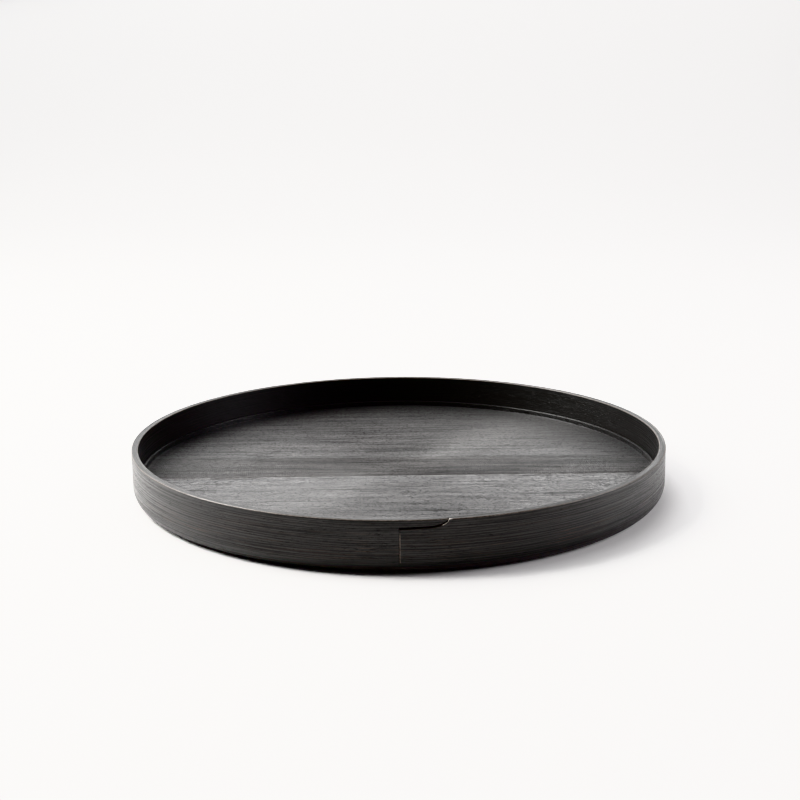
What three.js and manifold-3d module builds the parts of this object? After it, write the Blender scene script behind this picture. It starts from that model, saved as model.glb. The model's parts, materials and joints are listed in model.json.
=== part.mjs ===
// A round serving tray of lacquered wood: a steam-bent band, closed by a notched lap joint and glued round
// a turned base that is edge-joined from three boards with hidden bamboo pins.
// Millimetres, +Z up. The origin is the centre of the circle that the tray stands on, and the lap is at -Y.

import * as THREE from "three";
import { mergeVertices } from "three/addons/utils/BufferGeometryUtils.js";
import Module from "manifold-3d";

// Whole tray
const TRAY_DIAMETER = 300;
const TRAY_HEIGHT = 27.8;
const GLUE_GAP = 0.3; // between pieces that are glued or pressed together
const ROUND_STEPS = 96; // facets in a full turn, a multiple of 4

// Bent band
const BAND_THICKNESS = 3.8;
const RIM_ARRIS = 0.6; // rounding of both edges of the rim
const BOTTOM_ROUNDING = 8; // rounding under the tray, across the band and the base

// Lap joint of the band: the outer end is the tongue, the inner end lies behind it
const LAP_LENGTH = 60; // from the tip of the tongue to the tip of the inner end, along the outer face
const LAP_TIP = 1.2; // thickness of each tapered end at its tip
const NOTCH_DEPTH = 4.6; // rim to the tongue's upper edge, at the tongue's tip
const NOTCH_RISE = 0.6; // how much nearer the rim that edge is where its curve begins
const NOTCH_LENGTH = 23.5; // tip of the tongue to where the curve meets the rim
const NOTCH_CURVE = 10; // length of the curve along the band
const TONGUE_ROOT = 1; // how far the tongue is carried into the whole band, where it joins it

// Turned base
const FLOOR_HEIGHT = 8.9; // serving floor above the table
const LIP_HEIGHT = 11.8; // top of the lip along the wall, above the table
const LIP_LAND = 0.9; // flat top of the lip
const LIP_ARRIS = 0.3;
const FLOOR_FILLET = 0.25; // between the floor and the upright face of the lip
const RECESS_DEPTH = 1.5; // hollow under the base
const STANDING_RING = 20; // width of the flat ring that the tray stands on

// Joints between the boards, each placed by where it crosses the Y axis
const FRONT_SEAM_Y = -16.8;
const FRONT_SEAM_ANGLE = THREE.MathUtils.degToRad(1);
const REAR_SEAM_Y = 19;
const REAR_SEAM_ANGLE = THREE.MathUtils.degToRad(0.2);

// Bamboo pins across the joints
const PIN_DIAMETER = 3;
const PIN_LENGTH = 20;
const PIN_STEPS = 16;
const PINS_PER_SEAM = 3;
const PIN_SPACING = 85;
const PIN_STAGGER = 12; // front pins to the left and rear pins to the right by this much

const OUTER_RADIUS = TRAY_DIAMETER / 2;
const INNER_RADIUS = OUTER_RADIUS - BAND_THICKNESS;
const BASE_RADIUS = INNER_RADIUS - GLUE_GAP;
const PAST = 5; // how far a cutting body reaches past what it cuts

const wasm = await Module();
wasm.setup();

function toSolid(geometry) {
  geometry.deleteAttribute("normal");
  geometry.deleteAttribute("uv");
  const merged = mergeVertices(geometry, 1e-4);
  return new wasm.Manifold(
    new wasm.Mesh({
      numProp: 3,
      vertProperties: merged.attributes.position.array,
      triVerts: new Uint32Array(merged.index.array),
    }),
  );
}

function toMesh(name, solid, material) {
  const { vertProperties, triVerts } = solid.getMesh();
  const geometry = new THREE.BufferGeometry();
  geometry.setAttribute("position", new THREE.BufferAttribute(vertProperties, 3));
  geometry.setIndex(new THREE.BufferAttribute(triVerts, 1));
  const mesh = new THREE.Mesh(geometry.toNonIndexed(), material);
  mesh.geometry.computeVertexNormals();
  mesh.name = name;
  return mesh;
}

// Turns a profile of (radius, height) points about the Z axis. The profile runs up its outer side.
function turned(profile) {
  const geometry = new THREE.LatheGeometry(profile, ROUND_STEPS);
  return toSolid(geometry.rotateX(Math.PI / 2));
}

// Extrudes a plan outline up the Z axis, past the whole height of the tray.
function upright(outline) {
  const depth = TRAY_HEIGHT + 2 * PAST;
  const geometry = new THREE.ExtrudeGeometry(new THREE.Shape(outline), { depth, bevelEnabled: false });
  return toSolid(geometry.translate(0, 0, -PAST));
}

// Points on an arc of an ellipse, from one angle to another.
function arc(x, y, radiusX, radiusY, from, to, steps) {
  const curve = new THREE.EllipseCurve(x, y, radiusX, radiusY, from, to, to < from);
  return curve.getPoints(steps);
}

// A point in plan at a radius and an angle from -Y, counted towards +X.
function planPoint(radius, angle) {
  return new THREE.Vector2(radius * Math.sin(angle), -radius * Math.cos(angle));
}

// Height of the rounded bottom at a radius between the standing ring and the wall.
function bottomHeight(radius) {
  const across = radius - (OUTER_RADIUS - BOTTOM_ROUNDING);
  return BOTTOM_ROUNDING - Math.sqrt(BOTTOM_ROUNDING ** 2 - across ** 2);
}

// The rounded bottom as an arc between two radii.
function bottomArc(fromRadius, toRadius, steps) {
  const centre = OUTER_RADIUS - BOTTOM_ROUNDING;
  const angleAt = (radius) => -Math.acos((radius - centre) / BOTTOM_ROUNDING);
  const ends = [angleAt(fromRadius), angleAt(toRadius)];
  return arc(centre, BOTTOM_ROUNDING, BOTTOM_ROUNDING, BOTTOM_ROUNDING, ...ends, steps);
}

function bandRing() {
  const shoulder = TRAY_HEIGHT - RIM_ARRIS;
  const outerArris = OUTER_RADIUS - RIM_ARRIS;
  const innerArris = INNER_RADIUS + RIM_ARRIS;
  return turned([
    ...bottomArc(INNER_RADIUS, OUTER_RADIUS, 6),
    ...arc(outerArris, shoulder, RIM_ARRIS, RIM_ARRIS, 0, Math.PI / 2, 3),
    ...arc(innerArris, shoulder, RIM_ARRIS, RIM_ARRIS, Math.PI / 2, Math.PI, 3),
    new THREE.Vector2(INNER_RADIUS, bottomHeight(INNER_RADIUS)),
  ]);
}

// Radius of the face between the two tapered ends, at an angle along the lap.
function taperRadius(angle) {
  const share = (angle * OUTER_RADIUS) / LAP_LENGTH;
  return THREE.MathUtils.lerp(OUTER_RADIUS - LAP_TIP, INNER_RADIUS + LAP_TIP, share);
}

// Plan of what lies outside the taper, from the tongue's tip to an end angle, grown by a clearance.
function tonguePlan(endAngle, clearance) {
  const steps = 12;
  const tip = -clearance / OUTER_RADIUS;
  const outline = [];
  for (let i = 0; i <= steps; i++) {
    const angle = THREE.MathUtils.lerp(tip, endAngle, i / steps);
    outline.push(planPoint(OUTER_RADIUS + PAST, angle));
  }
  for (let i = steps; i >= 0; i--) {
    const angle = THREE.MathUtils.lerp(tip, endAngle, i / steps);
    outline.push(planPoint(taperRadius(angle) - clearance, angle));
  }
  return upright(outline);
}

// Front view of the tongue below and beyond the notch, grown by a clearance, as a body along Y.
function tongueFront(clearance) {
  const curveStart = NOTCH_LENGTH - NOTCH_CURVE;
  const curveDepth = NOTCH_DEPTH - NOTCH_RISE;
  const radii = [NOTCH_CURVE - clearance, curveDepth - clearance];
  const outline = [
    new THREE.Vector2(-PAST, -PAST),
    new THREE.Vector2(LAP_LENGTH + PAST, -PAST),
    new THREE.Vector2(LAP_LENGTH + PAST, TRAY_HEIGHT + PAST),
    new THREE.Vector2(NOTCH_LENGTH - clearance, TRAY_HEIGHT + PAST),
    ...arc(curveStart, TRAY_HEIGHT, ...radii, 0, -Math.PI / 2, 8),
    new THREE.Vector2(0, TRAY_HEIGHT - NOTCH_DEPTH + clearance),
    new THREE.Vector2(-PAST, TRAY_HEIGHT - NOTCH_DEPTH + clearance),
  ];
  const depth = OUTER_RADIUS + PAST;
  const geometry = new THREE.ExtrudeGeometry(new THREE.Shape(outline), { depth, bevelEnabled: false });
  return toSolid(geometry.rotateX(Math.PI / 2));
}

// The slit behind the tip of the inner end, from the inside of the band out to the taper.
function innerTipSlit(endAngle) {
  const start = endAngle - GLUE_GAP / OUTER_RADIUS;
  return upright([
    planPoint(INNER_RADIUS - PAST, start),
    planPoint(taperRadius(start), start),
    planPoint(taperRadius(endAngle), endAngle),
    planPoint(INNER_RADIUS - PAST, endAngle),
  ]);
}

// One strip: its outer end is the tongue, and a glue gap parts the tongue from the inner end behind it.
function bentBand() {
  const ring = bandRing();
  const endAngle = LAP_LENGTH / OUTER_RADIUS;
  const joined = endAngle + TONGUE_ROOT / OUTER_RADIUS;
  const tongue = tonguePlan(joined, 0).intersect(tongueFront(0)).intersect(ring);
  const seat = tonguePlan(endAngle, GLUE_GAP).intersect(tongueFront(GLUE_GAP));
  return ring.subtract(seat).subtract(innerTipSlit(endAngle)).add(tongue);
}

// The whole base as it comes off the lathe, before its joints are drawn.
function turnedBase() {
  const standing = OUTER_RADIUS - BOTTOM_ROUNDING;
  const recess = standing - STANDING_RING;
  const lipEdge = BASE_RADIUS - LIP_ARRIS;
  const lipFace = lipEdge - LIP_LAND - LIP_ARRIS;
  const floorEdge = lipFace - FLOOR_FILLET;
  return turned([
    new THREE.Vector2(0, RECESS_DEPTH),
    new THREE.Vector2(recess - RECESS_DEPTH, RECESS_DEPTH),
    new THREE.Vector2(recess, 0),
    ...bottomArc(standing, BASE_RADIUS, 3),
    new THREE.Vector2(BASE_RADIUS, LIP_HEIGHT - LIP_ARRIS),
    new THREE.Vector2(lipEdge, LIP_HEIGHT),
    new THREE.Vector2(lipFace + LIP_ARRIS, LIP_HEIGHT),
    new THREE.Vector2(lipFace, LIP_HEIGHT - LIP_ARRIS),
    ...arc(floorEdge, FLOOR_HEIGHT + FLOOR_FILLET, FLOOR_FILLET, FLOOR_FILLET, 0, -Math.PI / 2, 4),
    new THREE.Vector2(0, FLOOR_HEIGHT),
  ]);
}

// A joint between two boards: where it crosses the Y axis, its angle, and which way its pins are shifted.
const SEAMS = {
  front: { y: FRONT_SEAM_Y, angle: FRONT_SEAM_ANGLE, shift: -PIN_STAGGER },
  rear: { y: REAR_SEAM_Y, angle: REAR_SEAM_ANGLE, shift: PIN_STAGGER },
};

// Everything on the near or the far side of a joint, less half a glue gap.
function sideOf(seam, side) {
  const reach = TRAY_DIAMETER;
  const block = new THREE.BoxGeometry(2 * reach, reach, reach);
  block.translate(0, (side * (reach + GLUE_GAP)) / 2, 0);
  block.rotateZ(seam.angle);
  return toSolid(block.translate(0, seam.y, 0));
}

// A round bar across a joint at the middle of the floor's thickness, grown by a clearance.
function crossBar(seam, index, clearance) {
  const along = seam.shift + (index - (PINS_PER_SEAM - 1) / 2) * PIN_SPACING;
  const radius = PIN_DIAMETER / 2 + clearance;
  const bar = new THREE.CylinderGeometry(radius, radius, PIN_LENGTH + 2 * clearance, PIN_STEPS);
  bar.translate(along, 0, (RECESS_DEPTH + FLOOR_HEIGHT) / 2);
  bar.rotateZ(seam.angle);
  return toSolid(bar.translate(0, seam.y, 0));
}

function drilled(board, seams) {
  let result = board;
  for (const seam of seams) {
    for (let i = 0; i < PINS_PER_SEAM; i++) {
      result = result.subtract(crossBar(seam, i, GLUE_GAP));
    }
  }
  return result;
}

function baseBoards() {
  const base = turnedBase();
  const { front, rear } = SEAMS;
  const middle = base.intersect(sideOf(front, 1)).intersect(sideOf(rear, -1));
  return {
    base_board_front: drilled(base.intersect(sideOf(front, -1)), [front]),
    base_board_middle: drilled(middle, [front, rear]),
    base_board_rear: drilled(base.intersect(sideOf(rear, 1)), [rear]),
  };
}

function lacqueredBand() {
  return new THREE.MeshStandardMaterial({ color: 0x35312e, roughness: 0.42, metalness: 0 });
}

function lacqueredBoard() {
  return new THREE.MeshStandardMaterial({ color: 0x413e3c, roughness: 0.5, metalness: 0 });
}

function bamboo() {
  return new THREE.MeshStandardMaterial({ color: 0xc9ab74, roughness: 0.7, metalness: 0 });
}

const tray = new THREE.Group();
tray.add(toMesh("rim_band", bentBand(), lacqueredBand()));
for (const [name, board] of Object.entries(baseBoards())) {
  tray.add(toMesh(name, board, lacqueredBoard()));
}
for (const [joint, seam] of Object.entries(SEAMS)) {
  for (let i = 0; i < PINS_PER_SEAM; i++) {
    tray.add(toMesh(`joint_pin_${joint}_${i + 1}`, crossBar(seam, i, 0), bamboo()));
  }
}

export default tray;
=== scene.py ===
"""A round bentwood serving tray: a bent band with a lap joint round a turned base of three boards."""

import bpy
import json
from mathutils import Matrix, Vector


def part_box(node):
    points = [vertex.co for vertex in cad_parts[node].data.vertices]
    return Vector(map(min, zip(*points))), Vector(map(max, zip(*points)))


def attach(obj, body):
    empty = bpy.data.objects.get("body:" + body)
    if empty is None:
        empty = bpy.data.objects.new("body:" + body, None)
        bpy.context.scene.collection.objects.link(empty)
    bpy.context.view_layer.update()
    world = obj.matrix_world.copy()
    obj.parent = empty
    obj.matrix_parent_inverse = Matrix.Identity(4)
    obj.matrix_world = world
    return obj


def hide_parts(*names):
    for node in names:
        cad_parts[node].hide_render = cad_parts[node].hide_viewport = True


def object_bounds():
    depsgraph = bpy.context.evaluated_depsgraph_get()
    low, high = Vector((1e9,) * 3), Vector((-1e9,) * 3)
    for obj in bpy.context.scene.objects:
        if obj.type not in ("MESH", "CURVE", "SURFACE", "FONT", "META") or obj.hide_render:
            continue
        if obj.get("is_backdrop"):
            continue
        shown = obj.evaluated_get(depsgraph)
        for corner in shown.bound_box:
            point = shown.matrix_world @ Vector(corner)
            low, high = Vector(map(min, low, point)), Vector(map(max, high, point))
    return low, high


bl_info = {
    "name": "Bentwood Serving Tray",
    "version": (1, 0, 0),
    "blender": (4, 5, 0),
    "location": "3D View > Sidebar > Tray",
    "description": "Builds the pieces and finishes of a round bentwood serving tray round its measured frame",
    "category": "Add Mesh",
}

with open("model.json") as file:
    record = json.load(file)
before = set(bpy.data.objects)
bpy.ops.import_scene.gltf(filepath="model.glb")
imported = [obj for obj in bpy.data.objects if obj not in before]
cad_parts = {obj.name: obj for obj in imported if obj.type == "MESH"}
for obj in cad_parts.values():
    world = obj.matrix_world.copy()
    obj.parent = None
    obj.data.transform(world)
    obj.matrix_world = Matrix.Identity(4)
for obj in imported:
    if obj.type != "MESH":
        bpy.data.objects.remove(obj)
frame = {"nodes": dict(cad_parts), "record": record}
CAD_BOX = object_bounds()

import json
import math
from collections import namedtuple

import bmesh
import bpy
from bpy.props import FloatProperty, FloatVectorProperty, IntProperty, PointerProperty
from mathutils import Matrix, Vector

MM = 0.001
BODY = "root"
WELD = 0.001 * MM  # points nearer to each other than this are one
CUT_TOLERANCE = 1e-7
SHARP_ANGLE = math.radians(32)  # edges that turn by more than this stay sharp
GROOVE_RADII = (4.0, 13.5, 29.0, 42.0, 58.0, 70.5, 74.0, 78.0, 96.0, 112.0, 127.0)  # in millimetres
IN_MM = (1000.0, 1000.0, 1000.0)  # carries a place in metres to millimetres
PORE_BLACK = (0.002, 0.002, 0.002, 1.0)
LACQUER_IOR = 1.45
NO_JOINT = 1.0  # a joint this far off, in metres, leaves no painted highlight line on a board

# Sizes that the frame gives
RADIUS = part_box("rim_band")[1].x
RIM_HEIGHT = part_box("rim_band")[1].z
BASE_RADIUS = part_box("base_board_middle")[1].x
LIP_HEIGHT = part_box("base_board_rear")[1].z
FLOOR_HEIGHT = next(m["pos_m"][2] for m in frame["record"]["mounts"] if m["name"] == "serving_floor")
PIN_NODES = sorted(name for name in frame["nodes"] if name.startswith("joint_pin_"))

# A cut across the strip: radii of its faces, heights of its step and top, and the roundings of its top
Section = namedtuple("Section", "inner lower upper line top outer_arris inner_arris")
# How one board looks: its grain's seed, gloss, wear, painted shade by the wall, depth of rings and the joint
# that carries its painted highlight
BoardLook = namedtuple("BoardLook", "seed rough_low rough_high worn_middle edge_tone ring_depth joint")


# ---------------------------------------------------------------------------------------------
# Sizes and colours that a user can change


def length(name, description, millimetres):
    """A length property that shows in the scene's units."""
    return FloatProperty(name=name, description=description, default=millimetres * MM, min=0.0, unit="LENGTH")


def signed_length(name, description, millimetres):
    """A length property that may be on either side of nought."""
    return FloatProperty(name=name, description=description, default=millimetres * MM, unit="LENGTH")


def angle(name, description, degrees):
    """An angle property."""
    return FloatProperty(name=name, description=description, default=math.radians(degrees), subtype="ANGLE")


def amount(name, description, value):
    """A plain number that isn't negative."""
    return FloatProperty(name=name, description=description, default=value, min=0.0)


def colour(name, description, value):
    """A colour property."""
    return FloatVectorProperty(
        name=name, description=description, default=value, subtype="COLOR", min=0.0, max=1.0
    )


class TrayBandSizes(bpy.types.PropertyGroup):
    """The bent band and its lap joint."""

    glue_gap: length("Glue gap", "Gap between pieces that are glued together", 0.3)
    arris: length("Rim arris", "Rounding of both edges of the rim", 0.6)
    rounding: length("Bottom rounding", "Rounding under the tray, across band and base", 8.0)
    lap: length("Lap", "Length of the lap along the outer face", 60.0)
    lap_tip: length("Lap tip", "Thickness of each tapered end at its tip", 1.2)
    notch_depth: length("Notch depth", "Rim to the tongue's upper edge at its tip", 4.6)
    notch_rise: length("Notch rise", "How much nearer the rim that edge is at its curve", 0.6)
    notch_length: length("Notch length", "Tip of the tongue to where its curve meets the rim", 23.5)
    notch_curve: length("Notch curve", "Length of the curve along the band", 10.0)
    tuck: length("Tuck", "How far the inner end lies back behind the tongue's face", 0.3)
    tuck_run: length("Tuck run", "Length over which the band falls back to the tuck", 26.0)
    soft_edge: length("Soft edge", "Rounding of the tongue's own edges", 0.4)
    slit_edge: length("Slit edge", "Rounding of the edges along the glued slit", 0.05)
    ledge_gap: length("Ledge gap", "Gap above the tongue in the notch", 0.45)
    tip_gap: length("Tip gap", "Gap in front of the tongue's tip", 0.1)


class TrayBaseSizes(bpy.types.PropertyGroup):
    """The turned base and the joints between its boards."""

    lip_land: length("Lip land", "Flat top of the lip along the wall", 0.85)
    lip_arris: length("Lip arris", "Rounding of the lip's outer edge", 0.3)
    floor_fillet: length("Floor fillet", "Radius between the floor and the lip's upright face", 0.25)
    recess: length("Recess", "Depth of the hollow under the base", 1.5)
    standing_ring: length("Standing ring", "Width of the flat ring that the tray stands on", 20.0)
    lip_round: length("Lip rounding", "Rounding of the lip's inner edge", 0.35)
    groove_width: length("Groove width", "Width of the grooves left by the turning tool", 0.9)
    groove_depth: length("Groove depth", "Depth of those grooves", 0.02)
    nub_radius: length("Nub radius", "Radius of the low nub left in the middle of the floor", 13.0)
    nub_height: length("Nub height", "Height of that nub", 0.35)
    seam_gap: length("Joint gap", "Width of the glue line between two boards", 0.08)
    seam_edge: length("Joint edge", "Rounding of the boards' edges at a joint", 0.05)
    front_seam: signed_length("Front joint", "Where the front joint crosses the middle line", -16.8)
    front_slant: angle("Front joint slant", "Angle of the front joint", 1.0)
    rear_seam: signed_length("Rear joint", "Where the rear joint crosses the middle line", 19.0)
    rear_slant: angle("Rear joint slant", "Angle of the rear joint", 0.2)


class TrayPinSizes(bpy.types.PropertyGroup):
    """The bamboo pins inside the base."""

    sides: IntProperty(name="Sides", description="Sides that a pin is split to", default=24, min=8)
    tip_bevel: length("Tip bevel", "Bevel round both ends of a pin", 0.4)


class TrayFinish(bpy.types.PropertyGroup):
    """Colours of wood and lacquer."""

    band_dark: colour("Band, lacquer", "Colour of the lacquer on the band", (0.002, 0.002, 0.002))
    band_light: colour(
        "Band, grain", "Colour of the wood that shows through on the band", (0.0185, 0.0170, 0.0165)
    )
    band_worn: colour(
        "Band, thin lacquer", "Colour where the lacquer on the band is thin", (0.044, 0.026, 0.018)
    )
    ring_pitch: length("Growth lines", "Distance between the growth lines on the band", 1.15)
    # Wear through the lacquer on the arrises, and a painted highlight line along the tongue's tip
    edge_wear_and_highlight: colour("Edges, wear and highlight", "Colour of the wood at edges with wear, also the painted highlight along the tongue's tip", (0.150, 0.125, 0.108))
    board_dark: colour("Boards, lacquer", "Colour of the lacquer on the boards", (0.002, 0.002, 0.002))
    board_light: colour(
        "Boards, grain", "Colour of the wood that shows through on the boards", (0.046, 0.043, 0.042)
    )
    # A painted glint where the tongue's curve meets the rim
    painted_glint: colour("Painted glint", "Colour painted as a glint where the tongue's curve meets the rim", (0.62, 0.57, 0.52))
    # A painted highlight line along one board's joint
    joint_highlight: colour(
        "Joint highlight", "Colour painted along the joint as a highlight", (0.10, 0.095, 0.090)
    )
    bamboo: colour("Bamboo", "Colour of the bamboo pins", (0.58, 0.41, 0.19))


class TrayStage(bpy.types.PropertyGroup):
    """Table, lights and camera."""

    table: colour("Table", "Colour of the table", (0.86, 0.855, 0.85))
    sweep_start: length("Sweep start", "Where the table starts to sweep up behind the tray", 1100.0)
    sweep_radius: length("Sweep radius", "Radius of that sweep", 1200.0)
    left: amount("Left softbox", "Brightness of the softbox on the left", 25.6)
    overhead: amount("Overhead softbox", "Brightness of the softbox overhead", 4.3)
    right: amount("Right fill", "Brightness of the fill light on the right", 8.0)
    strips: amount("Back strips", "Brightness of the strips of light behind", 3.3)
    warm: colour("Warm tint", "Tint of the light from the left", (1.0, 0.985, 0.965))
    cool: colour("Cool tint", "Tint of the light from the right", (1.0, 0.975, 1.0))
    room: amount("Room", "Brightness of the room all round", 0.05)
    backdrop: amount("Backdrop", "Brightness of what is seen past the table's edges", 0.8)
    distance: length("Camera distance", "Camera to the point under the tray", 800.0)
    elevation: angle("Elevation", "Camera's height above the table as an angle", 17.26)
    yaw: angle("Yaw", "Turn of the view to the right", 0.078)
    pitch: angle("Pitch", "Tilt of the view below the horizon", 13.895)
    roll: angle("Roll", "Roll of the view", -0.457)
    lens: FloatProperty(
        name="Lens", description="Focal length in millimetres on a 36 mm sensor", default=62.5
    )


# ---------------------------------------------------------------------------------------------
# Mesh helpers


def mix(a, b, share):
    """A value between a and b."""
    return a + (b - a) * share


def ease(share):
    """A share from 0 to 1 with a soft start and end."""
    share = min(1.0, max(0.0, share))
    return share * share * (3.0 - 2.0 * share)


def arc(centre, radius, start, end, steps):
    """Points (radius, height) on an arc between two angles, both ends included."""
    angles = [mix(start, end, i / steps) for i in range(steps + 1)]
    return [(centre[0] + radius * math.cos(a), centre[1] + radius * math.sin(a)) for a in angles]


def run(start, end, steps):
    """Points on a straight run, without its last one."""
    return [(mix(start[0], end[0], i / steps), mix(start[1], end[1], i / steps)) for i in range(steps)]


def finish_mesh(bm, name):
    """Turns a bmesh into an object with smooth faces and sharp corners."""
    bmesh.ops.recalc_face_normals(bm, faces=bm.faces)
    for face in bm.faces:
        face.smooth = True
    mesh = bpy.data.meshes.new(name)
    bm.to_mesh(mesh)
    bm.free()
    mesh.set_sharp_from_angle(angle=SHARP_ANGLE)
    obj = bpy.data.objects.new(name, mesh)
    bpy.context.scene.collection.objects.link(obj)
    return obj


def settle(obj, node, material):
    """Lets a finished piece stand for its CAD node and gives it its finish."""
    obj.data.materials.append(material)
    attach(obj, BODY)
    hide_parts(node)


def bottom_height(radius, rounding):
    """Height of the rounded bottom at a radius."""
    across = radius - (RADIUS - rounding)
    return rounding - math.sqrt(rounding**2 - across**2)


def bottom_arc(inner, outer, rounding, steps):
    """The rounded bottom between two radii."""
    centre = (RADIUS - rounding, rounding)
    angles = [-math.acos((r - centre[0]) / rounding) for r in (inner, outer)]
    return arc(centre, rounding, *angles, steps)


# ---------------------------------------------------------------------------------------------
# The bent band, made as one strip and carried round the tray


def tongue_line(sizes, along, clearance=0.0):
    """Height of the tongue's upper edge at a distance from its tip."""
    start = sizes.notch_length - sizes.notch_curve
    depth = sizes.notch_depth - sizes.notch_rise
    if along <= start:
        return RIM_HEIGHT - mix(sizes.notch_depth, depth, max(0.0, along) / start) + clearance
    across = min(1.0, (along - start) / (sizes.notch_curve - clearance))
    return RIM_HEIGHT - (depth - clearance) * math.sqrt(1.0 - across**2)


def taper(sizes, along):
    """Radius of the face between the tongue and the inner end behind it."""
    inner = BASE_RADIUS + sizes.glue_gap
    return mix(RADIUS - sizes.lap_tip, inner + sizes.lap_tip, along / sizes.lap)


def tongue_section(sizes, along):
    """The outer end of the strip, cut away above the notch."""
    soft = sizes.soft_edge
    tip = max(0.0, 1.0 - along / soft)
    inset = soft * (1.0 - math.sqrt(max(0.0, 1.0 - tip**2)))
    edge = mix(soft, sizes.arris, ease((along - sizes.notch_length + 2 * MM) / (4 * MM)))
    outer = RADIUS - inset
    top = tongue_line(sizes, along) - inset
    return Section(taper(sizes, along), outer, outer, top / 2, top, edge, sizes.slit_edge)


def whole_section(sizes, back=0.0):
    """The strip at its full thickness, with its face set back by an amount."""
    inner = BASE_RADIUS + sizes.glue_gap
    outer = RADIUS - back
    return Section(inner, outer, outer, RIM_HEIGHT / 2, RIM_HEIGHT, sizes.arris, sizes.arris)


def inner_end_section(sizes, along):
    """The inner end: thin behind the tongue, and at its full thickness in the notch."""
    inner = BASE_RADIUS + sizes.glue_gap
    lower = taper(sizes, along) - sizes.glue_gap
    notch_end = sizes.notch_length - sizes.ledge_gap
    if along >= notch_end:
        line = RIM_HEIGHT - sizes.arris
        return Section(inner, lower, lower, line, RIM_HEIGHT, sizes.slit_edge, sizes.arris)
    line = min(tongue_line(sizes, along, sizes.ledge_gap), RIM_HEIGHT - sizes.arris)
    return Section(inner, lower, RADIUS - sizes.tuck, line, RIM_HEIGHT, sizes.arris, sizes.arris)


def worn_arc(*values):
    """An arc whose middle carries wear, as (radius, height, wear)."""
    points = arc(*values)
    last = len(points) - 1
    return [(r, z, math.sin(math.pi * i / last)) for i, (r, z) in enumerate(points)]


def unworn_or_wall_shade(points):
    """The same points with no wear."""
    return [(*point, 0.0) for point in points]


def section_outline(sizes, section):
    """A section's closed outline as (radius, height, wear), from its inner bottom edge outwards and round."""
    inner, lower, upper, line, top, outer_arris, inner_arris = section
    soft = min(sizes.soft_edge / 2, (upper - lower) / 2)
    hold = 0.2 * MM
    bottom = bottom_arc(inner, lower, sizes.rounding, 10)
    points = bottom[:-1]
    points += run(bottom[-1], (lower, line), 4)
    points += [(lower, line), (upper - soft, line), (upper, line + soft)]
    shoulder = max(line + soft, top - outer_arris)
    points += run((upper, line + soft), (upper, shoulder), 3)[1:]
    points += [(upper, mix(line + soft, shoulder, 0.98))]
    outer_arris = top - shoulder
    outline = unworn_or_wall_shade(points)
    outline += worn_arc((upper - outer_arris, shoulder), outer_arris, 0.0, math.pi / 2, 6)
    land = (upper - outer_arris) - (inner + inner_arris)
    held = min(hold, land / 3)
    outline += unworn_or_wall_shade([(upper - outer_arris - held, top), (inner + inner_arris + held, top)])
    outline += worn_arc((inner + inner_arris, top - inner_arris), inner_arris, math.pi / 2, math.pi, 6)
    points = [(inner, top - inner_arris - hold)]
    points += run((inner, top - inner_arris - 2 * hold), bottom[0], 5)
    return outline + unworn_or_wall_shade(points + [bottom[0]])


def curve_distances(start, radius):
    """Distances along the strip that follow a quarter curve in even turns."""
    return [start + radius * math.sin(math.radians(a)) for a in range(5, 91, 5)]


def band_stations(sizes):
    """(distance along the strip, section) from the tongue's tip round to the tip of the inner end."""
    girth = 2 * math.pi * RADIUS
    step = math.radians(1.0) * RADIUS
    near = 0.02 * MM
    curve_start = sizes.notch_length - sizes.notch_curve
    tip = [sizes.soft_edge * (1.0 - math.cos(math.radians(a))) for a in range(0, 91, 15)]
    ledge = [mix(tip[-1], curve_start, i / 8) for i in range(1, 9)]
    rest = [mix(sizes.notch_length, sizes.lap, i / 16) for i in range(1, 17)]
    behind_tip = [tip[-1] + 0.1 * MM, tip[-1] + 0.2 * MM]
    curve = curve_distances(curve_start, sizes.notch_curve)
    tongue = tip + behind_tip + ledge + curve + rest
    stations = [(s, tongue_section(sizes, s)) for s in tongue]

    count = round((girth - sizes.tuck_run - sizes.lap) / step)
    for i in range(count + 1):
        along = mix(sizes.lap + near, girth - sizes.tuck_run, i / count)
        stations.append((along, whole_section(sizes)))
    for i in range(1, 25):
        along = mix(-sizes.tuck_run, -sizes.tip_gap - near, i / 24)
        back = sizes.tuck * ease((along + sizes.tuck_run) / sizes.tuck_run)
        stations.append((girth + along, whole_section(sizes, back)))

    gap = sizes.ledge_gap
    inner = [-sizes.tip_gap] + [mix(0.0, curve_start, i / 8) for i in range(9)]
    inner += curve_distances(curve_start, sizes.notch_curve - gap) + [sizes.notch_length - gap + near]
    inner += [mix(sizes.notch_length, sizes.lap - sizes.glue_gap, i / 16) for i in range(1, 17)]
    stations += [(girth + s, inner_end_section(sizes, s)) for s in inner]
    return stations


def tongue_wear_and_highlight(sizes, along, radius, height, edge_wear):
    """Wear on the tongue: little along the ledge, a painted glint where its curve ends, and a painted
    highlight line along its tip.
    """
    # The tip's arris is painted light as a highlight up to this height; where the curve ends, values above 1
    # paint a glint
    tip_highlight_top = 20.0 * MM
    tip = along < sizes.soft_edge + 0.15 * MM and radius > RADIUS - sizes.lap_tip / 2
    tip_highlight = 1.0 if tip and 0.8 * sizes.rounding < height < tip_highlight_top else 0.0
    painted_glint = 2.2 * ease((along - sizes.notch_length + 4.5 * MM) / (2.0 * MM))
    return max(tip_highlight, edge_wear * max(0.15, painted_glint))


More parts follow.
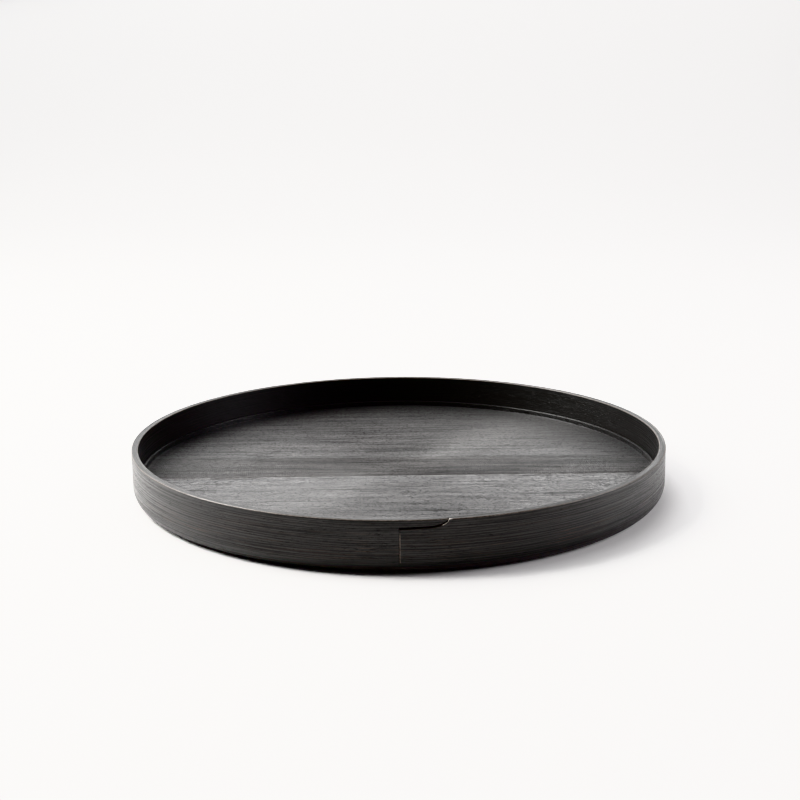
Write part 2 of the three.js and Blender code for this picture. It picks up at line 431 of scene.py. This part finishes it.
def build_band(sizes):
    """The band's mesh: a grid of stations by outline points, closed along its length and capped."""
    stations = band_stations(sizes)
    outlines = [section_outline(sizes, section) for _, section in stations]
    rows, columns = len(outlines[0]) - 1, len(stations) - 1
    bm = bmesh.new()
    bmesh.ops.create_grid(bm, x_segments=columns, y_segments=rows, size=0.5)
    strip = bm.verts.layers.float_vector.new("strip")
    worn = bm.verts.layers.float.new("worn")
    inner = BASE_RADIUS + sizes.glue_gap
    for vert in bm.verts:
        column = round((vert.co.x + 0.5) * columns)
        row = round((vert.co.y + 0.5) * rows)
        along = stations[column][0]
        radius, height, wear = outlines[column][row]
        turn = along / RADIUS
        vert.co = (radius * math.sin(turn), -radius * math.cos(turn), height)
        vert[strip] = (along, radius - inner, height)
        # On the tongue the values also hold a painted highlight along its tip and a painted glint where its
        # curve ends
        if along < sizes.notch_length + 1.0 * MM:
            wear = tongue_wear_and_highlight(sizes, along, radius, height, wear)
        vert[worn] = wear
    bmesh.ops.remove_doubles(bm, verts=bm.verts, dist=2 * WELD)
    bmesh.ops.dissolve_degenerate(bm, edges=bm.edges, dist=WELD)
    open_edges = [edge for edge in bm.edges if edge.is_boundary]
    bmesh.ops.holes_fill(bm, edges=open_edges, sides=0)
    return bm


# ---------------------------------------------------------------------------------------------
# The turned base, cut into its three boards


def lip_profile(sizes):
    """The lip, its upright face and the fillet below it, from the outer edge inwards, as (radius, height)."""
    edge = BASE_RADIUS - sizes.lip_arris
    inner = edge - sizes.lip_land
    face = inner - sizes.lip_round
    fillet = sizes.floor_fillet
    quarter = math.pi / 2
    points = arc((edge, LIP_HEIGHT - sizes.lip_arris), sizes.lip_arris, 0.0, quarter, 4)
    points += arc((inner, LIP_HEIGHT - sizes.lip_round), sizes.lip_round, quarter, 2 * quarter, 6)
    points += arc((face - fillet, FLOOR_HEIGHT + fillet), fillet, 0.0, -quarter, 8)
    return points


def floor_profile(sizes, edge):
    """The floor from its edge to the middle: flat, with a few turned grooves and a low nub in the middle."""
    points = []
    for groove in sorted((r * MM for r in GROOVE_RADII), reverse=True):
        half = sizes.groove_width / 2
        points += [(groove + half, FLOOR_HEIGHT), (groove, FLOOR_HEIGHT - sizes.groove_depth)]
        points += [(groove - half, FLOOR_HEIGHT)]
    steps = 12
    for i in range(steps):
        radius = sizes.nub_radius * (1.0 - i / steps)
        points.append((radius, FLOOR_HEIGHT + sizes.nub_height * ease(i / steps)))
    return [(r, z) for r, z in points if r < edge] + [(0.0, FLOOR_HEIGHT + sizes.nub_height)]


def base_profile(sizes, band):
    """Half section of the base as (radius, height), from the axis under it round to the axis above."""
    standing = RADIUS - band.rounding
    recess = standing - sizes.standing_ring
    bevel = 0.3 * MM
    inner = recess - sizes.recess
    points = run((0.0, sizes.recess), (inner - bevel, sizes.recess), 6)
    points += [(inner - bevel, sizes.recess), (inner, sizes.recess - bevel)]
    points += [(recess - bevel, bevel), (recess, 0.0), (mix(recess, standing, 0.5), 0.0)]
    points += bottom_arc(standing, BASE_RADIUS, band.rounding, 8)
    foot = bottom_height(BASE_RADIUS, band.rounding) + bevel
    points += run((BASE_RADIUS, foot), (BASE_RADIUS, LIP_HEIGHT), 3)[:-1]
    lip = lip_profile(sizes)
    return points + lip + floor_profile(sizes, lip[-1][0])


def turn_profile(profile, steps):
    """Spins a half section a full turn about the vertical axis into a closed body."""
    bm = bmesh.new()
    verts = [bm.verts.new((radius, 0.0, height)) for radius, height in profile]
    edges = [bm.edges.new(pair) for pair in zip(verts, verts[1:])]
    bmesh.ops.spin(
        bm, geom=verts + edges, cent=(0, 0, 0), axis=(0, 0, 1), angle=2 * math.pi, steps=steps, use_merge=True
    )
    bmesh.ops.remove_doubles(bm, verts=bm.verts, dist=WELD)
    bmesh.ops.recalc_face_normals(bm, faces=bm.faces)
    return bm


def cut_at_seam(bm, seam, slant, side, gap, edge_bevel):
    """Keeps what lies on one side of a joint, less half the glue gap, and closes the cut with a soft edge."""
    normal = Vector((-math.sin(slant), math.cos(slant), 0.0)) * side
    point = Vector((0.0, seam, 0.0)) + normal * gap / 2
    geometry = bm.verts[:] + bm.edges[:] + bm.faces[:]
    cut = bmesh.ops.bisect_plane(
        bm, geom=geometry, dist=CUT_TOLERANCE, plane_co=point, plane_no=normal, clear_inner=True
    )
    rim = [item for item in cut["geom_cut"] if isinstance(item, bmesh.types.BMEdge)]
    bmesh.ops.holes_fill(bm, edges=rim, sides=0)
    square, many_sided = 0.999, 20
    faces = [f for f in bm.faces if abs(f.normal.dot(normal)) > square and len(f.verts) > many_sided]
    edges = dict.fromkeys(edge for face in faces for edge in face.edges)  # each once, always in this order
    bmesh.ops.bevel(
        bm, geom=list(edges), offset=edge_bevel, affect="EDGES", segments=2, profile=0.5, material=-1,
        clamp_overlap=True,
    )


# ---------------------------------------------------------------------------------------------
# Finishes


def new_node(tree, kind, settings=None, **inputs):
    """Adds a node, sets its settings, and sets or links its inputs by name."""
    node = tree.nodes.new(kind)
    for key, value in (settings or {}).items():
        setattr(node, key, value)
    for key, value in inputs.items():
        socket = node.inputs[int(key[1:])] if key[0] == "_" else node.inputs[key.replace("_", " ")]
        if isinstance(value, bpy.types.NodeSocket):
            tree.links.new(value, socket)
        else:
            socket.default_value = value
    return node


def maths(tree, operation, *values):
    """A Math node's result."""
    inputs = {f"_{i}": value for i, value in enumerate(values)}
    return new_node(tree, "ShaderNodeMath", {"operation": operation}, **inputs).outputs[0]


def vector_maths(tree, operation, *values):
    """A Vector Math node's result."""
    inputs = {f"_{i}": value for i, value in enumerate(values)}
    return new_node(tree, "ShaderNodeVectorMath", {"operation": operation}, **inputs).outputs[0]


def remap(tree, value, low, high, to_low=0.0, to_high=1.0):
    """A value carried from one range to another and kept inside it."""
    limits = {"_1": low, "_2": high, "_3": to_low, "_4": to_high}
    return new_node(tree, "ShaderNodeMapRange", {"clamp": True}, _0=value, **limits).outputs[0]


def blend_colour(tree, share, first, second):
    """Two colours mixed."""
    return new_node(tree, "ShaderNodeMix", {"data_type": "RGBA"}, _0=share, _6=first, _7=second).outputs[2]


def new_group(name, inputs, outputs):
    """A shader node group with named sockets, and its input and output nodes."""
    tree = bpy.data.node_groups.new(name, "ShaderNodeTree")
    kinds = {"vector": "NodeSocketVector", "colour": "NodeSocketColor", "value": "NodeSocketFloat"}
    for label, kind in inputs:
        tree.interface.new_socket(name=label, in_out="INPUT", socket_type=kinds[kind])
    for label, kind in outputs:
        tree.interface.new_socket(name=label, in_out="OUTPUT", socket_type=kinds[kind])
    return tree, tree.nodes.new("NodeGroupInput").outputs, tree.nodes.new("NodeGroupOutput").inputs


def place_group(tree, group, **inputs):
    """Puts a node group into a material with its own values."""
    return new_node(tree, "ShaderNodeGroup", {"node_tree": group}, **inputs)


def stretched_noise_group():
    """Noise drawn out along the grain. Length and Width are the size of a mark in millimetres."""
    tree, given, result = new_group(
        "Stretched noise",
        [("Vector", "vector"), ("Length", "value"), ("Width", "value"), ("Seed", "value")],
        [("Value", "value")],
    )
    along = maths(tree, "DIVIDE", 1.0, given["Length"])
    across = maths(tree, "DIVIDE", 1.0, given["Width"])
    scale = new_node(tree, "ShaderNodeCombineXYZ", X=along, Y=across, Z=across).outputs[0]
    scaled = vector_maths(tree, "MULTIPLY", given["Vector"], scale)
    shift = new_node(tree, "ShaderNodeCombineXYZ", X=given["Seed"], Y=given["Seed"], Z=0.0).outputs[0]
    place = vector_maths(tree, "ADD", scaled, shift)
    noise = new_node(tree, "ShaderNodeTexNoise", Vector=place, Scale=1.0, Detail=3.0, Roughness=0.6)
    tree.links.new(noise.outputs[0], result["Value"])
    return tree


def open_grain_group(stretched):
    """Growth lines, broad bands of tone and pores of open-grained wood, in millimetres, X along the grain."""
    tree, given, result = new_group(
        "Open grain",
        [("Vector", "vector"), ("Line Width", "value"), ("Waver", "value"), ("Seed", "value")],
        [(label, "value") for label in ("Lines", "Bands", "Pores", "Flecks", "Streaks")],
    )
    seed = given["Seed"]
    waver = new_node(tree, "ShaderNodeTexNoise", Vector=given["Vector"], Scale=0.012, Detail=1.0)
    centred = vector_maths(tree, "SUBTRACT", waver.outputs["Color"], (0.5, 0.5, 0.5))
    reach = new_node(tree, "ShaderNodeCombineXYZ", X=0.0, Y=given["Waver"], Z=given["Waver"]).outputs[0]
    drift = vector_maths(tree, "MULTIPLY", centred, reach)
    wavy = vector_maths(tree, "ADD", given["Vector"], drift)

    def marks(mark_length, width, offset):
        shifted = maths(tree, "ADD", seed, offset)
        node = place_group(tree, stretched, Vector=wavy, Length=mark_length, Width=width, Seed=shifted)
        return node.outputs[0]

    fine = marks(70.0, given["Line Width"], 0.0)
    broad = marks(170.0, 9.0, 31.0)
    pores = marks(3.2, 0.34, 57.0)
    flecks = marks(1.3, 0.9, 83.0)
    streaks = marks(48.0, 1.5, 19.0)
    tree.links.new(remap(tree, fine, 0.3, 0.7), result["Lines"])
    tree.links.new(remap(tree, broad, 0.32, 0.68), result["Bands"])
    tree.links.new(remap(tree, pores, 0.575, 0.655), result["Pores"])
    tree.links.new(remap(tree, flecks, 0.35, 0.75), result["Flecks"])
    tree.links.new(remap(tree, streaks, 0.60, 0.68), result["Streaks"])
    return tree


def turning_marks_group():
    """Fine rings round the vertical axis, uneven in depth, from a point in millimetres."""
    tree, given, result = new_group(
        "Turning marks", [("Vector", "vector"), ("Pitch", "value")], [("Rings", "value"), ("Scuffs", "value")]
    )
    flat = vector_maths(tree, "MULTIPLY", given["Vector"], (1.0, 1.0, 0.0))
    radius = new_node(tree, "ShaderNodeVectorMath", {"operation": "LENGTH"}, _0=flat).outputs["Value"]
    turns = maths(tree, "DIVIDE", radius, given["Pitch"])
    wave = maths(tree, "SINE", maths(tree, "MULTIPLY", turns, 2 * math.pi))
    spread = maths(tree, "MULTIPLY", radius, 1.7)
    place = new_node(tree, "ShaderNodeCombineXYZ", X=spread, Y=0.0, Z=0.0).outputs[0]
    noise = {"Scale": 1.0, "Detail": 4.0, "Roughness": 0.7}
    uneven = new_node(tree, "ShaderNodeTexNoise", Vector=place, **noise).outputs[0]
    noise = {"Scale": 0.035, "Detail": 5.0, "Roughness": 0.62}
    scuffs = new_node(tree, "ShaderNodeTexNoise", Vector=flat, **noise).outputs[0]
    depth = remap(tree, scuffs, 0.4, 0.65, 0.15, 0.6)
    tree.links.new(maths(tree, "MULTIPLY_ADD", wave, depth, uneven), result["Rings"])
    tree.links.new(remap(tree, scuffs, 0.3, 0.7), result["Scuffs"])
    return tree


def new_material(name):
    """An empty node material, its tree and its Principled shader."""
    material = bpy.data.materials.new(name)
    material.use_nodes = True
    tree = material.node_tree
    return material, tree, tree.nodes["Principled BSDF"]


def opaque(rgb):
    """A colour property as red, green, blue and alpha."""
    return (*rgb, 1.0)


def band_material(finish, groups):
    """Thin lacquer over grain that runs along the bent strip, with wear through it at its edges, a painted
    highlight line along the tongue's tip and a painted glint where its curve meets the rim.
    """
    material, tree, shader = new_material("Lacquered band")
    place = new_node(tree, "ShaderNodeAttribute", {"attribute_name": "strip"}).outputs["Vector"]
    vector = vector_maths(tree, "MULTIPLY", place, IN_MM)
    grain = place_group(tree, groups["grain"], Vector=vector, Line_Width=0.62, Waver=0.8, Seed=4.0).outputs
    split = new_node(tree, "ShaderNodeSeparateXYZ", Vector=vector).outputs
    drift = place_group(tree, groups["noise"], Vector=vector, Length=120.0, Width=2.4, Seed=7.0).outputs[0]
    turns = maths(tree, "DIVIDE", maths(tree, "MULTIPLY_ADD", drift, 4.0, split["Z"]), finish.ring_pitch / MM)
    even = maths(tree, "SINE", maths(tree, "MULTIPLY", turns, 2 * math.pi))
    lines = maths(tree, "MULTIPLY_ADD", even, 0.42, remap(tree, grain["Lines"], 0.2, 0.8, 0.1, 0.9))
    inner = remap(tree, split["Y"], 0.4, 1.2, 0.45, 1.0)
    light = vector_maths(tree, "MULTIPLY", tuple(finish.band_light), inner)
    base = blend_colour(tree, lines, opaque(finish.band_dark), light)
    dashes = place_group(tree, groups["noise"], Vector=vector, Length=26.0, Width=0.36, Seed=91.0).outputs[0]
    above_foot = remap(tree, split["Z"], 5.0, 9.0)
    under_rim = remap(tree, split["Z"], 20.0, 14.0, 0.3, 1.0)
    low = maths(tree, "MULTIPLY", above_foot, under_rim)
    low = maths(tree, "MULTIPLY", low, remap(tree, split["Y"], 1.5, 2.5))
    brown = maths(tree, "MULTIPLY", remap(tree, dashes, 0.57, 0.67), low)
    toned = blend_colour(tree, maths(tree, "MULTIPLY", brown, 0.7), base, opaque(finish.band_worn))
    pores = grain["Pores"]
    toned = blend_colour(tree, maths(tree, "MULTIPLY", pores, 0.7), toned, PORE_BLACK)
    # Wear at the arrises, a painted highlight along the tongue's tip, and above 1.1 a painted glint
    edge = new_node(tree, "ShaderNodeAttribute", {"attribute_name": "worn"}).outputs["Fac"]
    patchy = remap(tree, grain["Flecks"], 0.0, 0.8, 0.35, 1.0)
    wear = maths(tree, "MULTIPLY", remap(tree, edge, 0.25, 0.9), patchy)
    colour_out = blend_colour(tree, maths(tree, "MULTIPLY", wear, 0.85), toned, opaque(finish.edge_wear_and_highlight))
    # Painted glint where the tongue's curve meets the rim
    colour_out = blend_colour(tree, remap(tree, edge, 1.1, 1.7), colour_out, opaque(finish.painted_glint))
    tree.links.new(colour_out, shader.inputs["Base Color"])
    rough = remap(tree, lines, 0.0, 1.0, 0.54, 0.35)
    rough = maths(tree, "MULTIPLY_ADD", pores, 0.25, rough)
    rough = maths(tree, "MULTIPLY_ADD", wear, -0.10, rough)
    tree.links.new(rough, shader.inputs["Roughness"])
    relief = maths(tree, "MULTIPLY_ADD", lines, 0.8, maths(tree, "MULTIPLY", pores, -1.2))
    bump = new_node(tree, "ShaderNodeBump", Strength=1.0, Distance=0.00003, Height=relief)
    tree.links.new(bump.outputs[0], shader.inputs["Normal"])
    shader.inputs["IOR"].default_value = LACQUER_IOR
    shader.inputs["Anisotropic"].default_value = 0.35
    shader.inputs["Anisotropic Rotation"].default_value = 0.25
    return material


def board_material(name, finish, groups, slant, look):
    """Thin lacquer over a board's grain and its turned rings, with a painted highlight along one joint and
    painted shade towards the wall.
    """
    material, tree, shader = new_material(name)
    place = new_node(tree, "ShaderNodeTexCoord").outputs["Object"]
    turned = new_node(tree, "ShaderNodeMapping", Vector=place, Rotation=(0.0, 0.0, -slant), Scale=IN_MM)
    plain = vector_maths(tree, "MULTIPLY", place, IN_MM)
    grain = place_group(
        tree, groups["grain"], Vector=turned.outputs[0], Line_Width=1.9, Waver=5.0, Seed=look.seed
    ).outputs
    marks = place_group(tree, groups["turning"], Vector=plain, Pitch=1.15).outputs
    lines = remap(tree, grain["Lines"], 0.3, 0.7)
    flat = vector_maths(tree, "MULTIPLY", place, (1.0, 1.0, 0.0))
    radius = new_node(tree, "ShaderNodeVectorMath", {"operation": "LENGTH"}, _0=flat).outputs["Value"]
    inside = remap(tree, radius, 0.1415, 0.1435, 1.0, 0.1)
    specks = maths(tree, "MULTIPLY", remap(tree, grain["Flecks"], 0.5, 0.75), inside)
    pores = maths(tree, "MULTIPLY", grain["Pores"], inside)
    show = maths(tree, "MULTIPLY_ADD", lines, 0.6, maths(tree, "MULTIPLY", grain["Bands"], 0.4))
    # Painted shade: the boards' grain darkens towards the wall, most on the rear board
    unworn_or_wall_shade = remap(tree, radius, 0.095, 0.142, 1.0, look.edge_tone)
    light = vector_maths(tree, "MULTIPLY", tuple(finish.board_light), unworn_or_wall_shade)
    base = blend_colour(tree, show, opaque(finish.board_dark), light)
    dark = maths(tree, "MAXIMUM", maths(tree, "MULTIPLY", pores, 0.9), maths(tree, "MULTIPLY", specks, 0.8))
    dark = maths(tree, "MAXIMUM", dark, maths(tree, "MULTIPLY", grain["Streaks"], 0.9))
    toned = blend_colour(tree, dark, base, PORE_BLACK)
    # Painted highlight: a lighter line along the board's joint
    along = new_node(tree, "ShaderNodeSeparateXYZ", Vector=turned.outputs[0]).outputs["Y"]
    near = maths(tree, "ABSOLUTE", maths(tree, "SUBTRACT", along, look.joint * math.cos(slant) / MM))
    beside = remap(tree, near, 2.2, 0.6)
    edge = maths(tree, "MULTIPLY", beside, remap(tree, grain["Bands"], 0.0, 1.0, 0.5, 1.0))
    colour_out = blend_colour(tree, maths(tree, "MULTIPLY", edge, 0.6), toned, opaque(finish.joint_highlight))
    tree.links.new(colour_out, shader.inputs["Base Color"])
    share = maths(tree, "MULTIPLY_ADD", marks["Scuffs"], 0.3, maths(tree, "MULTIPLY", grain["Bands"], 0.3))
    share = maths(tree, "MULTIPLY_ADD", lines, 0.4, share)
    rough = remap(tree, share, 0.0, 1.0, look.rough_high, look.rough_low)
    across = maths(tree, "ABSOLUTE", new_node(tree, "ShaderNodeSeparateXYZ", Vector=plain).outputs["X"])
    uneven = maths(tree, "MULTIPLY_ADD", marks["Scuffs"], 20.0, across)
    used = remap(tree, uneven, 62.0, 105.0, look.worn_middle, 0.0)
    rough = maths(tree, "ADD", rough, used)
    rough = maths(tree, "MULTIPLY_ADD", dark, 0.35, rough)
    tree.links.new(rough, shader.inputs["Roughness"])
    height = maths(tree, "MULTIPLY_ADD", pores, -1.0, maths(tree, "MULTIPLY", lines, 0.35))
    height = maths(tree, "MULTIPLY_ADD", specks, -0.7, height)
    height = maths(tree, "MULTIPLY_ADD", grain["Streaks"], -0.8, height)
    height = maths(tree, "MULTIPLY_ADD", marks["Rings"], look.ring_depth, height)
    bump = new_node(tree, "ShaderNodeBump", Strength=1.0, Distance=0.00012, Height=height)
    tree.links.new(bump.outputs[0], shader.inputs["Normal"])
    tree.links.new(vector_maths(tree, "NORMALIZE", flat), shader.inputs["Tangent"])
    tree.links.new(remap(tree, radius, 0.006, 0.032, 0.0, 0.93), shader.inputs["Anisotropic"])
    shader.inputs["IOR"].default_value = LACQUER_IOR
    return material


def bamboo_material(finish, groups):
    """Split bamboo with fibres along the pin."""
    material, tree, shader = new_material("Split bamboo")
    place = new_node(tree, "ShaderNodeTexCoord").outputs["Object"]
    along = new_node(
        tree, "ShaderNodeMapping", Vector=place, Rotation=(0.0, 0.0, math.pi / 2), Scale=IN_MM
    )
    fibres = place_group(
        tree, groups["noise"], Vector=along.outputs[0], Length=9.0, Width=0.18, Seed=2.0
    ).outputs[0]
    pale = opaque(finish.bamboo)
    dark = tuple(0.55 * c for c in finish.bamboo) + (1.0,)
    bamboo = blend_colour(tree, remap(tree, fibres, 0.35, 0.7), pale, dark)
    tree.links.new(bamboo, shader.inputs["Base Color"])
    tree.links.new(remap(tree, fibres, 0.3, 0.7, 0.55, 0.75), shader.inputs["Roughness"])
    bump = new_node(tree, "ShaderNodeBump", Strength=0.4, Distance=0.0001, Height=fibres)
    tree.links.new(bump.outputs[0], shader.inputs["Normal"])
    return material


def finish_groups():
    """The node groups that the finishes share, made once."""
    groups = {"noise": bpy.data.node_groups.get("Stretched noise") or stretched_noise_group()}
    groups["grain"] = bpy.data.node_groups.get("Open grain") or open_grain_group(groups["noise"])
    groups["turning"] = bpy.data.node_groups.get("Turning marks") or turning_marks_group()
    return groups


# ---------------------------------------------------------------------------------------------
# Operators


class TRAY_OT_bent_band(bpy.types.Operator):
    """Bend one strip round the tray and lap its ends at the front."""

    bl_idname = "tray.bent_band"
    bl_label = "Bent band"

    def execute(self, context):
        scene = context.scene
        band = finish_mesh(build_band(scene.tray_band), "bent_band")
        settle(band, "rim_band", band_material(scene.tray_finish, finish_groups()))
        return {"FINISHED"}


class TRAY_OT_base_boards(bpy.types.Operator):
    """Turn the base and part it into its three boards."""

    bl_idname = "tray.base_boards"
    bl_label = "Base boards"

    def execute(self, context):
        scene = context.scene
        base, band = scene.tray_base, scene.tray_band
        front = (base.front_seam, base.front_slant)
        rear = (base.rear_seam, base.rear_slant)
        looks = {
            "front": BoardLook(11.0, 0.22, 0.34, 0.02, 0.8, 0.16, base.front_seam),
            "middle": BoardLook(23.0, 0.50, 0.64, 0.18, 0.5, 0.9, NO_JOINT),
            "rear": BoardLook(37.0, 0.32, 0.46, 0.03, 0.1, 0.16, NO_JOINT),
        }
        boards = {
            "front": ([(*front, -1)], base.front_slant),
            "middle": ([(*front, 1), (*rear, -1)], base.rear_slant),
            "rear": ([(*rear, 1)], base.rear_slant),
        }
        whole = turn_profile(base_profile(base, band), 360)
        for place, (cuts, slant) in boards.items():
            bm = whole.copy()
            for seam, seam_slant, side in cuts:
                cut_at_seam(bm, seam, seam_slant, side, base.seam_gap, base.seam_edge)
            board = finish_mesh(bm, f"{place}_board")
            name = f"Lacquered {place} board"
            material = board_material(name, scene.tray_finish, finish_groups(), slant, looks[place])
            settle(board, f"base_board_{place}", material)
        whole.free()
        return {"FINISHED"}


class TRAY_OT_joint_pins(bpy.types.Operator):
    """Split the bamboo pins and set them across the joints inside the base."""

    bl_idname = "tray.joint_pins"
    bl_label = "Joint pins"

    def execute(self, context):
        scene = context.scene
        sizes, base = scene.tray_pins, scene.tray_base
        material = bamboo_material(scene.tray_finish, finish_groups())
        for node in PIN_NODES:
            low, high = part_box(node)
            slant = base.front_slant if "front" in node else base.rear_slant
            radius = (high.z - low.z) / 2
            long = (high.y - low.y - 2 * radius * math.sin(slant)) / math.cos(slant)
            bm = bmesh.new()
            bmesh.ops.create_cone(
                bm, cap_ends=True, segments=sizes.sides, radius1=radius, radius2=radius, depth=long
            )
            ends = [e for e in bm.edges if abs(e.verts[0].co.z - e.verts[1].co.z) < 1e-6]
            bmesh.ops.bevel(
                bm, geom=ends, offset=sizes.tip_bevel, affect="EDGES", segments=2, profile=0.5, material=-1
            )
            turn = Matrix.Rotation(slant, 4, "Z") @ Matrix.Rotation(math.pi / 2, 4, "X")
            bmesh.ops.transform(bm, matrix=Matrix.Translation((low + high) / 2) @ turn, verts=bm.verts)
            pin = finish_mesh(bm, node.replace("joint_pin", "bamboo_pin"))
            settle(pin, node, material)
        return {"FINISHED"}


class TRAY_OT_stage(bpy.types.Operator):
    """Lay the table, hang the lights and place the camera."""

    bl_idname = "tray.stage"
    bl_label = "Stage"

    def execute(self, context):
        scene = context.scene
        lay_table(scene.tray_stage)
        hang_lights(scene, scene.tray_stage)
        place_camera(scene, scene.tray_stage)
        return {"FINISHED"}


def lay_table(stage):
    """A pale table top that sweeps up behind into its backdrop."""
    turn = stage.sweep_radius
    back = stage.sweep_start
    near_edge, half_width, wall = -3.0, 4.0, 2.0
    path = [(near_edge, 0.0)] + run((near_edge + 1.0, 0.0), (back, 0.0), 4)
    path += arc((back, turn), turn, -math.pi / 2, 0.0, 16) + [(back + turn, turn + wall)]
    bm = bmesh.new()
    verts = [bm.verts.new((-half_width, y, z)) for y, z in path]
    edges = [bm.edges.new(pair) for pair in zip(verts, verts[1:])]
    wide = bmesh.ops.extrude_edge_only(bm, edges=edges)["geom"]
    moved = [item for item in wide if isinstance(item, bmesh.types.BMVert)]
    bmesh.ops.translate(bm, vec=(2 * half_width, 0.0, 0.0), verts=moved)
    bmesh.ops.recalc_face_normals(bm, faces=bm.faces)
    if min(bm.faces, key=lambda face: face.calc_center_median().y).normal.z < 0:
        bmesh.ops.reverse_faces(bm, faces=bm.faces)
    for face in bm.faces:
        face.smooth = True
    mesh = bpy.data.meshes.new("table")
    bm.to_mesh(mesh)
    bm.free()
    table = bpy.data.objects.new("table", mesh)
    bpy.context.scene.collection.objects.link(table)
    material, tree, shader = new_material("Pale table")
    place = new_node(tree, "ShaderNodeTexCoord").outputs["Object"]
    noise = new_node(tree, "ShaderNodeTexNoise", Vector=place, Scale=3.0, Detail=2.0).outputs[0]
    grey = (0.7, 0.7, 0.7, 1.0)
    tint = blend_colour(tree, remap(tree, noise, 0.3, 0.7, 0.0, 0.04), opaque(stage.table), grey)
    tree.links.new(tint, shader.inputs["Base Color"])
    shader.inputs["Roughness"].default_value = 0.8
    table.data.materials.append(material)
    table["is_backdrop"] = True


def area_light(scene, name, place, target, size, radiance, tint):
    """A soft rectangular light that points at a target."""
    data = bpy.data.lights.new(name, "AREA")
    data.shape = "RECTANGLE"
    data.size, data.size_y = size
    data.energy = radiance * math.pi * size[0] * size[1]
    data.color = tint
    light = bpy.data.objects.new(name, data)
    aim = (Vector(target) - Vector(place)).to_track_quat("-Z", "Y")
    light.matrix_world = Matrix.Translation(place) @ aim.to_matrix().to_4x4()
    scene.collection.objects.link(light)


def hang_lights(scene, stage):
    """Softboxes near the tray on the left and overhead, a fill on the right and bright strips behind."""
    softboxes = (
        ("left_softbox", (-0.75, 0.15, 0.75), (0.6, 0.6), stage.left),
        ("left_rear_softbox", (-0.6, 0.6, 0.9), (0.6, 0.6), 0.18 * stage.left),
        ("left_panel", (-1.5, 0.75, 0.5), (1.0, 0.8), 0.1 * stage.left),
        ("overhead_softbox", (-0.1, 0.2, 1.1), (0.7, 0.7), stage.overhead),
        ("rear_softbox", (0.0, 0.9, 0.9), (0.8, 0.5), 0.5 * stage.overhead),
        ("right_fill", (1.6, 0.0, 0.7), (1.0, 1.0), stage.right),
        ("low_strip", (-0.2, 1.95, 0.57), (3.0, 0.36), stage.strips),
        ("high_strip", (-0.2, 1.9, 1.05), (3.0, 0.5), 0.85 * stage.strips),
    )
    side = 0.5  # lights further out than this are tinted
    for name, place, size, radiance in softboxes:
        tint = stage.warm if place[0] < -side else stage.cool if place[0] > side else (1.0, 1.0, 1.0)
        area_light(scene, name, place, (0.0, 0.0, 0.0), size, radiance, tint)
    world = bpy.data.worlds.new("Studio")
    scene.world = world
    world.use_nodes = True
    tree = world.node_tree
    back = tree.nodes["Background"]
    back.inputs["Color"].default_value = (1.0, 1.0, 1.0, 1.0)
    seen = new_node(tree, "ShaderNodeLightPath").outputs["Is Camera Ray"]
    tree.links.new(remap(tree, seen, 0.0, 1.0, stage.room, stage.backdrop), back.inputs["Strength"])
    scene.view_settings.view_transform = "Khronos PBR Neutral"


def place_camera(scene, stage):
    """The camera in front of the tray and above it."""
    data = bpy.data.cameras.new("camera")
    data.lens = stage.lens
    data.sensor_width = 36.0
    data.clip_start = 0.01
    camera = bpy.data.objects.new("camera", data)
    place = Vector((0.0, -math.cos(stage.elevation), math.sin(stage.elevation))) * stage.distance
    level = math.cos(stage.pitch)
    ahead = Vector((math.sin(stage.yaw) * level, math.cos(stage.yaw) * level, -math.sin(stage.pitch)))
    aim = ahead.to_track_quat("-Z", "Y").to_matrix().to_4x4()
    camera.matrix_world = Matrix.Translation(place) @ aim @ Matrix.Rotation(stage.roll, 4, "Z")
    scene.collection.objects.link(camera)
    scene.camera = camera


class TRAY_PT_sidebar(bpy.types.Panel):
    """The tray's pieces, sizes and finishes."""

    bl_idname = "TRAY_PT_sidebar"
    bl_label = "Serving tray"
    bl_space_type = "VIEW_3D"
    bl_region_type = "UI"
    bl_category = "Tray"

    def draw(self, context):
        for operator, group in PIECES:
            box = self.layout.box()
            box.operator(operator)
            settings = getattr(context.scene, group)
            for key in settings.bl_rna.properties.keys():
                if key not in ("rna_type", "name"):
                    box.prop(settings, key)
        finish = context.scene.tray_finish
        box = self.layout.box()
        for key in finish.bl_rna.properties.keys():
            if key not in ("rna_type", "name"):
                box.prop(finish, key)


PIECES = (
    ("tray.bent_band", "tray_band"),
    ("tray.base_boards", "tray_base"),
    ("tray.joint_pins", "tray_pins"),
    ("tray.stage", "tray_stage"),
)
GROUPS = {
    "tray_band": TrayBandSizes,
    "tray_base": TrayBaseSizes,
    "tray_pins": TrayPinSizes,
    "tray_finish": TrayFinish,
    "tray_stage": TrayStage,
}
CLASSES = (
    *GROUPS.values(),
    TRAY_OT_bent_band,
    TRAY_OT_base_boards,
    TRAY_OT_joint_pins,
    TRAY_OT_stage,
    TRAY_PT_sidebar,
)


def register():
    """Adds the classes and the scene's settings."""
    for cls in CLASSES:
        bpy.utils.register_class(cls)
    for name, group in GROUPS.items():
        setattr(bpy.types.Scene, name, PointerProperty(type=group))


def unregister():
    """Takes away the scene's settings and the classes."""
    for name in GROUPS:
        delattr(bpy.types.Scene, name)
    for cls in reversed(CLASSES):
        bpy.utils.unregister_class(cls)


def main():
    """Builds every piece and the stage."""
    register()
    bpy.ops.tray.bent_band()
    bpy.ops.tray.base_boards()
    bpy.ops.tray.joint_pins()
    bpy.ops.tray.stage()
    boxes = {"cad": CAD_BOX, "visual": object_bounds()}
    boxes = {name: [list(corner) for corner in box] for name, box in boxes.items()}


if __name__ == "__main__":
    main()
